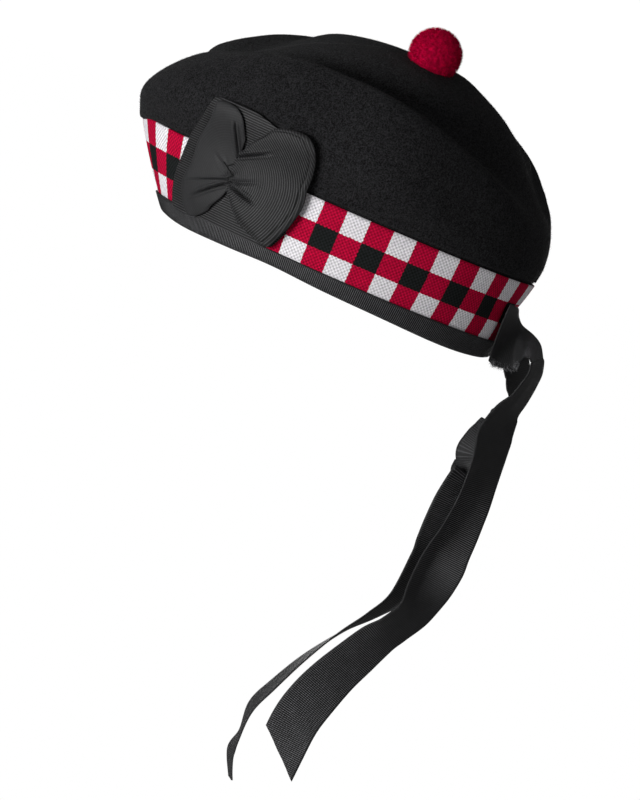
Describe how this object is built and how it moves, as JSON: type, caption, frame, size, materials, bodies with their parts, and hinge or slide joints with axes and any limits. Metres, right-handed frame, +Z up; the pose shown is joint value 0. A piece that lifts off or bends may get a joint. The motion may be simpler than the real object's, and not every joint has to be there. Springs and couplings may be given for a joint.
{
  "type": "balmoral bonnet",
  "caption": "Round felt bonnet with a full soft crown over a diced woven band, a bound rim, a ribbon bow cockade, a wool pompom and long ribbon tails at the back.",
  "frame": {"origin": "centre of the head opening, in the plane of the rim", "axes": "+Z up out of the crown, -Y towards the wearer's front, +X towards the wearer's left"},
  "size_m": [0.2256, 0.2695, 0.4326],
  "materials": {
    "black_felt": "fulled wool felt with a short nap",
    "diced_weave": "red, white and black checks in a small bead weave",
    "black_ribbon": "ribbed grosgrain with a dull sheen",
    "red_wool": "dense short wool pile"
  },
  "bodies": {
    "root": {"crown": "black_felt", "diced_band": "diced_weave", "rim_binding": "black_ribbon", "cockade_backing": "black_ribbon", "cockade_bow": "black_ribbon", "toorie": "red_wool", "tie_wrap": "black_ribbon", "tail_near": "black_ribbon", "tail_far": "black_ribbon"}
  },
  "joints": []
}
